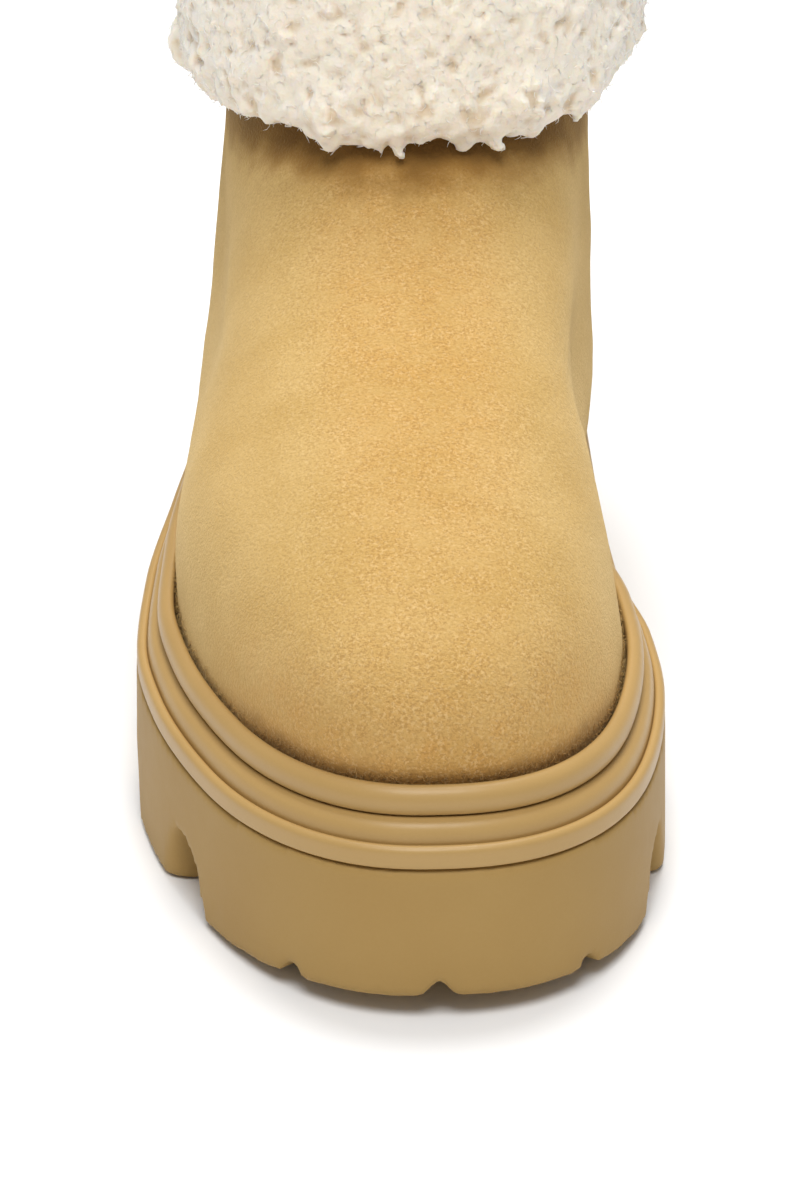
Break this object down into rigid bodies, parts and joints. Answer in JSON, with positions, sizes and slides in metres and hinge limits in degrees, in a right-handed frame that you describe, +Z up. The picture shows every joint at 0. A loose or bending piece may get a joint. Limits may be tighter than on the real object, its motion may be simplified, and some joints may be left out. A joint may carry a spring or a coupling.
{
  "type": "sheepskin boot",
  "caption": "Right pull-on ankle boot: suede upper, turned-down shearling cuff and a lugged platform sole with a raised waist.",
  "frame": {"origin": "on the floor below the middle of the boot's bounding box", "axes": "+Z up; the toe points along -Y and the heel along +Y; +X is the inner (medial) side of this right boot"},
  "size_m": [0.123, 0.2904, 0.1883],
  "materials": {
    "outsole_rubber": "moulded tan foamed rubber, satin",
    "midsole_foam": "moulded tan foam, smooth, satin",
    "suede": "golden-tan suede with a short brushed nap",
    "wool": "cream curled sheep's wool"
  },
  "bodies": {
    "root": {"outsole": "outsole_rubber", "midsole": "midsole_foam", "welt": "midsole_foam", "insole": "wool", "upper": "suede", "cuff": "wool"}
  },
  "joints": []
}
